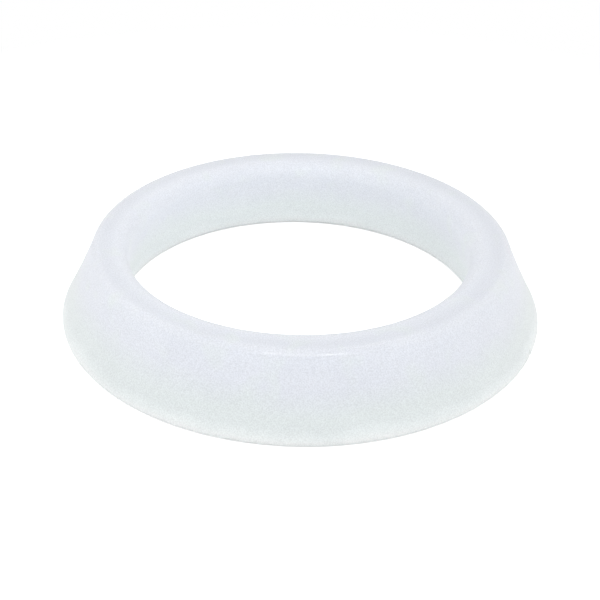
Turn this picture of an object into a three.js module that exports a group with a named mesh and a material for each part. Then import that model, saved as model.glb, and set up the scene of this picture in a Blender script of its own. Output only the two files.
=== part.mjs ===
import * as THREE from "three";

// Slip joint washer for a waste pipe, moulded in one piece of soft white polyethylene.
// The pipe passes through the bore. The slip nut presses on the flat base and drives the
// tapered nose into the gap between the pipe and the mouth of the socket, where it seals.
// Lengths are in millimetres. +Z is up along the ring's axis, and z = 0 is the base.

// The bore clears the pipe at its throat, right under the rolled lip of the nose, and
// widens from there by its draft towards the base.
const pipeDiameter = 31.75;
const pipeClearance = 0.15;
const boreDraft = THREE.MathUtils.degToRad(9.3);

// The nose wall fills the gap to the socket, and the flank leans out from it to the base.
const noseWall = 3.62;
const flankReach = 3.56;
const flankHollow = 0.1;
const height = 7.32;

// Each edge of the moulding has its own radius.
const baseOuterRadius = 0.4;
const noseOuterRadius = 0.9;
const noseInnerRadius = 1.3;
const baseInnerRadius = 0.5;

// An edge is rounded over at most this share of a face beside it.
const edgeShare = 0.45;

// Flat steps that stand for the curves.
const turnSteps = 120;
const edgeSteps = 5;
const flankSteps = 4;

// Length that the rounding of an edge takes from each of the faces beside it.
function edgeSetback(radius, angle, shorterFace) {
  return Math.min(radius / Math.tan(angle / 2), edgeShare * shorterFace);
}

// Corners of the ring's section before they are rounded, as radius and height.
function sectionCorners() {
  const throat = (pipeDiameter + pipeClearance) / 2;
  const boreLength = height / Math.cos(boreDraft);
  const lipAngle = Math.PI / 2 - boreDraft;
  const lipSetback = edgeSetback(noseInnerRadius, lipAngle, Math.min(noseWall, boreLength));
  const noseBore = throat - lipSetback * Math.sin(boreDraft);
  const baseBore = noseBore + height * Math.tan(boreDraft);
  const noseEdge = noseBore + noseWall;
  const baseEdge = noseEdge + flankReach;
  return {
    baseOuter: new THREE.Vector2(baseEdge, 0),
    noseOuter: new THREE.Vector2(noseEdge, height),
    noseInner: new THREE.Vector2(noseBore, height),
    baseInner: new THREE.Vector2(baseBore, 0),
  };
}

// Arc tangent to both faces of a corner, from the face before it to the face after it.
function roundedEdge(before, corner, after, radius) {
  const toBefore = before.clone().sub(corner);
  const toAfter = after.clone().sub(corner);
  const angle = toBefore.angleTo(toAfter);
  const setback = edgeSetback(radius, angle, Math.min(toBefore.length(), toAfter.length()));
  const start = corner.clone().add(toBefore.setLength(setback));
  const end = corner.clone().add(toAfter.setLength(setback));
  const middle = start.clone().add(end).divideScalar(2);
  const inward = middle.sub(corner).setLength(setback / Math.cos(angle / 2));
  const centre = corner.clone().add(inward);
  const arcRadius = centre.distanceTo(start);
  const startAngle = start.sub(centre).angle();
  const endAngle = end.sub(centre).angle();
  return new THREE.EllipseCurve(centre.x, centre.y, arcRadius, arcRadius, startAngle, endAngle);
}

// Sealing flank between two rounded edges, hollowed by a shallow curve at its middle.
function hollowFlank(start, end) {
  const along = end.clone().sub(start);
  const inward = new THREE.Vector2(-along.y, along.x).setLength(2 * flankHollow);
  const control = start.clone().add(end).divideScalar(2).add(inward);
  return new THREE.QuadraticBezierCurve(start, control, end);
}

// Closed outline of the section: up the flank, in over the crown, down the bore and back.
function sectionOutline() {
  const { baseOuter, noseOuter, noseInner, baseInner } = sectionCorners();
  const baseOuterEdge = roundedEdge(baseInner, baseOuter, noseOuter, baseOuterRadius);
  const noseOuterEdge = roundedEdge(baseOuter, noseOuter, noseInner, noseOuterRadius);
  const noseInnerEdge = roundedEdge(noseOuter, noseInner, baseInner, noseInnerRadius);
  const baseInnerEdge = roundedEdge(noseInner, baseInner, baseOuter, baseInnerRadius);
  const flank = hollowFlank(baseOuterEdge.getPoint(1), noseOuterEdge.getPoint(0));
  const outline = [
    ...baseOuterEdge.getPoints(edgeSteps),
    ...flank.getPoints(flankSteps).slice(1, -1),
    ...noseOuterEdge.getPoints(edgeSteps),
    ...noseInnerEdge.getPoints(edgeSteps),
    ...baseInnerEdge.getPoints(edgeSteps),
  ];
  outline.push(outline[0].clone());
  return outline;
}

// Milky polyethylene with a satin mould finish.
function polyethylene() {
  return new THREE.MeshStandardMaterial({ color: 0xe4e8ec, roughness: 0.42, metalness: 0 });
}

// The ring: its section turned once about the pipe's axis, which then stands along +Z.
function washerRing() {
  const ring = new THREE.Mesh(new THREE.LatheGeometry(sectionOutline(), turnSteps), polyethylene());
  ring.name = "washer";
  ring.rotation.x = Math.PI / 2;
  return ring;
}

const slipJointWasher = new THREE.Group();
slipJointWasher.add(washerRing());

export default slipJointWasher;
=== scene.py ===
import math

import bmesh
import bpy
from mathutils import Matrix, Vector


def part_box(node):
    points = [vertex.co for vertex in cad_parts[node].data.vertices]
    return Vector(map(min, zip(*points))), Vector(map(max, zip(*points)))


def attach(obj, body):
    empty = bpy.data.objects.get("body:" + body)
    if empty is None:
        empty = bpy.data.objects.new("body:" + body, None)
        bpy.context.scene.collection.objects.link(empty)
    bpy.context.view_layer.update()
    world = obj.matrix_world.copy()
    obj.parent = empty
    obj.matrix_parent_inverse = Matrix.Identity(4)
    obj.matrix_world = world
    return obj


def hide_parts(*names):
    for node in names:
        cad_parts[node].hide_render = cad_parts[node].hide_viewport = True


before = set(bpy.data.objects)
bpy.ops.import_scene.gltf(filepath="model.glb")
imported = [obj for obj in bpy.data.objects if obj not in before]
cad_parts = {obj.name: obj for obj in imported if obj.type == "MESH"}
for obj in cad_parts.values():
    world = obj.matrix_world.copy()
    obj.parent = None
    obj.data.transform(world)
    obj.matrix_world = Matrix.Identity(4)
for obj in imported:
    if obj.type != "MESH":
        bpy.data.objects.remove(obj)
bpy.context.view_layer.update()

# Washer.
# One bevelled ring, moulded in a single shot of natural low-density polyethylene. It lies on
# its flat base, its slightly hollow sealing flank leans in to a narrow crown, and the bore
# widens towards the base.
mm = 0.001
washer_low, washer_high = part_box("washer")
height = washer_high.z - washer_low.z

# Corners of the section before they are rounded, as distances from the ring's axis.
nose_bore = 15.703 * mm
base_bore = 16.901 * mm
nose_edge = 19.323 * mm
base_edge = 22.883 * mm

# Lengths that the rounding of each edge takes from the two faces beside it.
base_outer_round = 0.713 * mm
nose_outer_round = 0.52 * mm
nose_inner_round = 1.586 * mm
base_inner_round = 0.411 * mm
round_steps = 10

flank_hollow = 0.1 * mm
flank_cuts = 7
turn_steps = 360
weld = 0.002 * mm


def deselect_all():
    if bpy.context.mode != "OBJECT":
        bpy.ops.object.mode_set(mode="OBJECT")
    bpy.ops.object.select_all(action="DESELECT")


def pick(piece, wanted):
    """In edit mode, selects only the points whose place passes the test."""
    mesh = bmesh.from_edit_mesh(piece.data)
    for point in mesh.verts:
        point.select_set(wanted(point.co))
    mesh.select_flush(True)
    bmesh.update_edit_mesh(piece.data)


def near(place):
    return lambda co: (co - place).length < weld


# The section starts as a flat rectangle that stands across the ring's wall, square to +Y.
base_outer = Vector((base_edge, 0, 0))
base_inner = Vector((base_bore, 0, 0))
nose_outer = Vector((nose_edge, 0, height))
nose_inner = Vector((nose_bore, 0, height))
deselect_all()
bpy.ops.mesh.primitive_plane_add(
    size=height, location=(base_edge, 0, height / 2), rotation=(math.pi / 2, 0, 0)
)
washer = bpy.context.active_object
washer.name = "washer_ring"
bpy.ops.object.transform_apply(location=True, rotation=True, scale=True)
bpy.ops.object.mode_set(mode="EDIT")
half = height / 2
for start, corner in (
    (Vector((base_edge + half, 0, 0)), base_outer),
    (Vector((base_edge - half, 0, 0)), base_inner),
    (Vector((base_edge + half, 0, height)), nose_outer),
    (Vector((base_edge - half, 0, height)), nose_inner),
):
    pick(washer, near(start))
    bpy.ops.transform.translate(value=corner - start)

# Each corner is rounded by its own amount.
for corner, amount in (
    (base_outer, base_outer_round),
    (nose_outer, nose_outer_round),
    (nose_inner, nose_inner_round),
    (base_inner, base_inner_round),
):
    pick(washer, near(corner))
    bpy.ops.mesh.bevel(offset=amount, segments=round_steps, profile=0.5, affect="VERTICES")

# The flank is cut into short lengths, which are drawn in to a shallow hollow.
along = (nose_outer - base_outer).normalized()
inward = Vector((-along.z, 0, along.x))
flank_start = base_outer + base_outer_round * along
flank_end = nose_outer - nose_outer_round * along
pick(washer, lambda co: near(flank_start)(co) or near(flank_end)(co))
bpy.ops.mesh.subdivide(number_cuts=flank_cuts)
for cut in range(1, flank_cuts + 1):
    share = cut / (flank_cuts + 1)
    bow = 4 * share * (1 - share)
    pick(washer, near(flank_start.lerp(flank_end, share)))
    bpy.ops.transform.translate(value=inward * flank_hollow * bow)

# Only the outline is kept, and it is turned once round the axis.
bpy.ops.mesh.select_all(action="SELECT")
bpy.ops.mesh.delete(type="ONLY_FACE")
bpy.ops.mesh.select_all(action="SELECT")
bpy.ops.mesh.spin(steps=turn_steps, angle=math.tau, center=(0, 0, 0), axis=(0, 0, 1))
bpy.ops.mesh.select_all(action="SELECT")
bpy.ops.mesh.remove_doubles(threshold=weld)
bpy.ops.mesh.normals_make_consistent(inside=False)

# The bore came out of the mould a little off the ring's centre, to the left.
bore_offset = Vector((-0.244 * mm, 0, 0))
wall_middle = (base_bore + nose_edge) / 2
pick(washer, lambda co: math.hypot(co.x, co.y) < wall_middle)
bpy.ops.transform.translate(value=bore_offset)
bpy.ops.object.mode_set(mode="OBJECT")

# Where the sprue was cut off, at the front right, a small nick is left in the base's edge.
nick_turn = math.radians(-22.5)
nick_radius = 0.45 * mm
nick_depth = 0.22 * mm
nick_top = 1.5 * mm
cutter_length = 2.4 * mm
cutter_sides = 32
nick_reach = washer_high.x - nick_depth + nick_radius
deselect_all()
bpy.ops.mesh.primitive_cylinder_add(
    vertices=cutter_sides,
    radius=nick_radius,
    depth=cutter_length,
    location=(
        nick_reach * math.cos(nick_turn),
        nick_reach * math.sin(nick_turn),
        nick_top - cutter_length / 2,
    ),
)
cutter = bpy.context.active_object
nick = washer.modifiers.new("nick", "BOOLEAN")
nick.operation = "DIFFERENCE"
nick.solver = "EXACT"
nick.object = cutter
deselect_all()
washer.select_set(True)
bpy.context.view_layer.objects.active = washer
bpy.ops.object.modifier_apply(modifier="nick")
bpy.data.objects.remove(cutter)

crease_angle = math.radians(35)
bpy.ops.object.shade_smooth_by_angle(angle=crease_angle)
flat_normals = washer.modifiers.new("flat_normals", "WEIGHTED_NORMAL")
flat_normals.keep_sharp = True
bpy.ops.object.modifier_apply(modifier="flat_normals")

# Milky polyethylene that light passes through: the thin nose is faintly blue and the thick base
# faintly green, with a few soft clouds where the melt cooled unevenly, and the fine grain of a
# satin mould.
polyethylene = bpy.data.materials.new("polyethylene")
polyethylene.use_nodes = True
nodes = polyethylene.node_tree.nodes
links = polyethylene.node_tree.links
skin = nodes["Principled BSDF"]
place = nodes.new("ShaderNodeTexCoord")
axes = nodes.new("ShaderNodeSeparateXYZ")
links.new(place.outputs["Object"], axes.inputs["Vector"])
depth, level = axes.outputs["Y"], axes.outputs["Z"]


def linear(red, green, blue):
    """Turns a colour on a screen, 0 to 255, to the amounts that a shader takes."""
    amounts = []
    for tone in (red, green, blue):
        share = tone / 255
        amounts.append(share / 12.92 if share <= 0.04045 else ((share + 0.055) / 1.055) ** 2.4)
    return (*amounts, 1)


def noise(scale, detail):
    """Cloudy values, mostly from 0.3 to 0.7, with about scale clouds to a metre."""
    node = nodes.new("ShaderNodeTexNoise")
    node.inputs["Scale"].default_value = scale
    node.inputs["Detail"].default_value = detail
    links.new(place.outputs["Object"], node.inputs["Vector"])
    return node.outputs["Fac"]


def spread(value, low, high, to_low, to_high):
    """Turns values from low to high to ones from to_low to to_high, and holds past both."""
    node = nodes.new("ShaderNodeMapRange")
    for name, amount in (
        ("From Min", low), ("From Max", high), ("To Min", to_low), ("To Max", to_high)
    ):
        node.inputs[name].default_value = amount
    links.new(value, node.inputs["Value"])
    return node.outputs["Result"]


def wander(scale, detail, to_low, to_high):
    """Values that wander over the piece between to_low and to_high."""
    return spread(noise(scale, detail), 0.3, 0.7, to_low, to_high)


def combine(operation, first, second):
    node = nodes.new("ShaderNodeMath")
    node.operation = operation
    links.new(first, node.inputs[0])
    links.new(second, node.inputs[1])
    return node.outputs["Value"]


def product(first, *others):
    for other in others:
        first = combine("MULTIPLY", first, other)
    return first


# A Mix node has sockets for every kind of value, and its colours are found by their numbers.
first_colour, second_colour, mixed_colour = 6, 7, 2


def blend(share, first, second):
    """Goes from the first colour to the second as the share goes from 0 to 1."""
    node = nodes.new("ShaderNodeMix")
    node.data_type = "RGBA"
    links.new(share, node.inputs["Factor"])
    for colour, number in ((first, first_colour), (second, second_colour)):
        if isinstance(colour, tuple):
            node.inputs[number].default_value = colour
        else:
            links.new(colour, node.inputs[number])
    return node.outputs[mixed_colour]


# Distance of each point from the ring's axis.
flattened = nodes.new("ShaderNodeVectorMath")
flattened.operation = "MULTIPLY"
flattened.inputs[1].default_value = (1, 1, 0)
links.new(place.outputs["Object"], flattened.inputs[0])
span = nodes.new("ShaderNodeVectorMath")
span.operation = "LENGTH"
links.new(flattened.outputs["Vector"], span.inputs[0])
radius = span.outputs["Value"]

# The colour turns from green at the base to blue at the nose, and the border between them
# wanders up and down a little. Here and there a green cloud shows through the blue.
blue_milk = linear(229, 232, 238.5)
green_milk = linear(229, 234.5, 235)
sway = 0.3 * mm
swayed_level = combine("ADD", level, wander(scale=160, detail=2, to_low=-sway, to_high=sway))
blueness = spread(swayed_level, 2.4 * mm, 4.6 * mm, 0, 1)
green_cloud = spread(noise(scale=420, detail=1), 0.55, 0.75, 0, 0.6)
tinted = blend(green_cloud, blend(blueness, green_milk, blue_milk), green_milk)

# Painted light: the thin edge of the base is painted paler, more so outside than in the bore,
# for the light that the white table throws up into it.
edge_painted_light = linear(247, 254, 254)
low_down = spread(swayed_level, 0.1 * mm, 1.6 * mm, 1, 0)
outer_side = spread(radius, 18.5 * mm, 20.5 * mm, 0.5, 1)
with_edge_painted_light = blend(product(low_down, outer_side), tinted, edge_painted_light)

# Painted light and shade: the bore is painted a little paler than the rest, for light that
# bounces about inside it and comes through its wall, and the foot of the flank and the crown of
# the nose are painted a little darker, as shade. The crown's painted shade ends higher up on
# the flank than inside. Broad faint clouds and a fine mottle shade it all by a few parts in a
# hundred.
bore_painted_light = spread(radius, 17.3 * mm, 18.3 * mm, 1.05, 1)
foot_painted_shade = spread(radius, 20.4 * mm, 21.2 * mm, 1, 0.975)
flank_drop = spread(radius, 19.2 * mm, 19.7 * mm, 0, -0.6 * mm)
crown_painted_shade = spread(combine("ADD", level, flank_drop), 5.8 * mm, 6.9 * mm, 1, 0.955)
broad_clouds = wander(scale=220, detail=3, to_low=0.985, to_high=1.005)
mottle = wander(scale=9000, detail=1, to_low=0.92, to_high=1.08)
milk = nodes.new("ShaderNodeVectorMath")
milk.operation = "SCALE"
links.new(with_edge_painted_light, milk.inputs[0])
links.new(product(bore_painted_light, foot_painted_shade, crown_painted_shade, broad_clouds, mottle), milk.inputs["Scale"])
links.new(milk.outputs["Vector"], skin.inputs["Base Color"])

# The skin is satin, and at the front a narrow line along the nose's outer edge is rubbed
# smooth. It is a fifth as rough as the rest.
smooth_share = 0.2
outside = spread(radius, nose_edge - 0.5 * mm, nose_edge - 0.4 * mm, 0, 1)
above = spread(level, height - 0.55 * mm, height - 0.45 * mm, 0, 1)
below = spread(level, height - 0.22 * mm, height - 0.12 * mm, 1, 0)
front = spread(depth, -18.3 * mm, -17.3 * mm, 1, 0)
rubbed = product(outside, front, above, below)
satin = wander(scale=900, detail=2, to_low=0.46, to_high=0.54)
links.new(product(satin, spread(rubbed, 0, 1, 1, smooth_share)), skin.inputs["Roughness"])

# The grain that the mould leaves is a few thousandths of a millimetre deep.
grain = nodes.new("ShaderNodeBump")
grain.inputs["Strength"].default_value = 0.25
grain.inputs["Distance"].default_value = 0.004 * mm
links.new(noise(scale=6000, detail=2), grain.inputs["Height"])
links.new(grain.outputs["Normal"], skin.inputs["Normal"])

# Light of every colour goes just as deep into the plastic, and the skin mirrors little of it.
skin.inputs["IOR"].default_value = 1.51
skin.inputs["Specular IOR Level"].default_value = 0.2
skin.inputs["Subsurface Weight"].default_value = 1.0
skin.inputs["Subsurface Radius"].default_value = (1.0, 1.0, 1.0)
skin.inputs["Subsurface Scale"].default_value = 1.4 * mm

washer.data.materials.clear()
washer.data.materials.append(polyethylene)
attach(washer, "root")
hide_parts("washer")

# Table.
# The washer lies loose on a sheet of plain white paper that covers the table top. The sheet
# runs out into white all round and keeps only a soft shadow by the ring.
table_size = 4.0
white_from = 35 * mm
white_past = 80 * mm
lift_by_the_ring = 0.36
deselect_all()
bpy.ops.mesh.primitive_plane_add(size=table_size, location=(0, 0, 0))
table = bpy.context.active_object
table.name = "table_top"
paper = bpy.data.materials.new("white_paper")
paper.use_nodes = True
nodes = paper.node_tree.nodes
links = paper.node_tree.links
place = nodes.new("ShaderNodeTexCoord")
sheet = nodes["Principled BSDF"]
sheet.inputs["Base Color"].default_value = linear(252, 252, 252)
sheet.inputs["Roughness"].default_value = 0.9
sheet.inputs["Specular IOR Level"].default_value = 0


def seen():
    """1 where the eye looks at the surface, straight, in a gloss or through a clear piece."""
    ray = nodes.new("ShaderNodeLightPath")
    bent = combine("MAXIMUM", ray.outputs["Is Glossy Ray"], ray.outputs["Is Transmission Ray"])
    return combine("MAXIMUM", ray.outputs["Is Camera Ray"], bent)


def glow(strength):
    node = nodes.new("ShaderNodeEmission")
    node.inputs["Strength"].default_value = strength
    return node.outputs["Emission"]


def mixed(share, first, second):
    node = nodes.new("ShaderNodeMixShader")
    links.new(share, node.inputs["Fac"])
    links.new(first, node.inputs[1])
    links.new(second, node.inputs[2])
    return node.outputs["Shader"]


# To the eye the sheet by the ring is lifted almost to white, and further out it is all white.
# The light that it throws back at the ring is that of plain paper.
lifted = nodes.new("ShaderNodeAddShader")
links.new(sheet.outputs["BSDF"], lifted.inputs[0])
links.new(glow(lift_by_the_ring), lifted.inputs[1])
away = nodes.new("ShaderNodeVectorMath")
away.operation = "LENGTH"
links.new(place.outputs["Object"], away.inputs[0])
far = spread(away.outputs["Value"], white_from, white_past, 0, 1)
shown = mixed(far, lifted.outputs["Shader"], glow(1))
links.new(
    mixed(seen(), sheet.outputs["BSDF"], shown),
    nodes["Material Output"].inputs["Surface"],
)
table.data.materials.append(paper)

# Light.
# A white tent all round fills the shadows. A small soft panel hangs close over the front left,
# and a large one stands further off at the right. Two flash heads, higher than the camera,
# leave two short bright lines on the near rim of the nose.
tent_strength = 0.685
world = bpy.data.worlds.new("white_tent")
bpy.context.scene.world = world
world.use_nodes = True
nodes = world.node_tree.nodes
links = world.node_tree.links
tent = nodes["Background"]
tent.inputs["Color"].default_value = (1, 1, 1, 1)
tent.inputs["Strength"].default_value = tent_strength
backdrop = nodes.new("ShaderNodeBackground")
backdrop.inputs["Color"].default_value = (1, 1, 1, 1)
backdrop.inputs["Strength"].default_value = 1
links.new(
    mixed(seen(), tent.outputs["Background"], backdrop.outputs["Background"]),
    nodes["World Output"].inputs["Surface"],
)


def lamp(name, azimuth, elevation, distance, width, length, strength, mirrored):
    """A flat lamp aimed at the ring. Azimuth 0 is on the camera's side, and plus is to the
    right. A strength of 1 is as bright as a white wall. A mirrored lamp shows in a gloss and
    lights nothing else, and the others are left out of a gloss."""
    light = bpy.data.lights.new(name, "AREA")
    light.shape = "RECTANGLE"
    light.size = width
    light.size_y = length
    light.energy = strength * math.pi * width * length
    holder = bpy.data.objects.new(name, light)
    bpy.context.scene.collection.objects.link(holder)
    holder.visible_glossy = mirrored
    holder.visible_diffuse = not mirrored
    turn = math.radians(azimuth)
    rise = math.radians(elevation)
    ahead = math.cos(rise)
    away = Vector((math.sin(turn) * ahead, -math.cos(turn) * ahead, math.sin(rise)))
    holder.location = distance * away
    holder.rotation_euler = away.to_track_quat("Z", "Y").to_euler()


lamp(
    "left_panel", azimuth=-60, elevation=48, distance=0.14,
    width=0.14, length=0.14, strength=0.94, mirrored=False,
)
lamp(
    "right_panel", azimuth=63, elevation=38, distance=0.38,
    width=0.42, length=0.27, strength=1.14, mirrored=False,
)
lamp(
    "left_flash", azimuth=-12.4, elevation=50, distance=0.6,
    width=0.12, length=0.1, strength=12, mirrored=True,
)
lamp(
    "right_flash", azimuth=18, elevation=50, distance=0.6,
    width=0.13, length=0.11, strength=17, mirrored=True,
)

# Camera.
# It looks down on the ring from the front, a little off level. Its focal length is counted in
# pixels of a picture that is 600 pixels wide.
camera_data = bpy.data.cameras.new("camera")
camera_data.sensor_width = 36
picture_width = 600
focal_pixels = 1298
camera_data.lens = camera_data.sensor_width * focal_pixels / picture_width
camera_data.clip_start = 1 * mm
camera_data.clip_end = 10
camera = bpy.data.objects.new("camera", camera_data)
bpy.context.scene.collection.objects.link(camera)
target = Vector((-0.06, 0, 0.514)) * mm
camera_distance = 125.1 * mm
camera_rise = math.radians(31.082)
camera_roll = math.radians(1.127)
back = Vector((0, -math.cos(camera_rise), math.sin(camera_rise)))
level_up = Vector((0, math.sin(camera_rise), math.cos(camera_rise)))
level_right = Vector((1, 0, 0))
right = math.cos(camera_roll) * level_right + math.sin(camera_roll) * level_up
up = math.cos(camera_roll) * level_up - math.sin(camera_roll) * level_right
camera.matrix_world = Matrix.Translation(target + camera_distance * back) @ Matrix(
    (right, up, back)
).transposed().to_4x4()
bpy.context.scene.camera = camera
bpy.context.scene.view_settings.view_transform = "Standard"
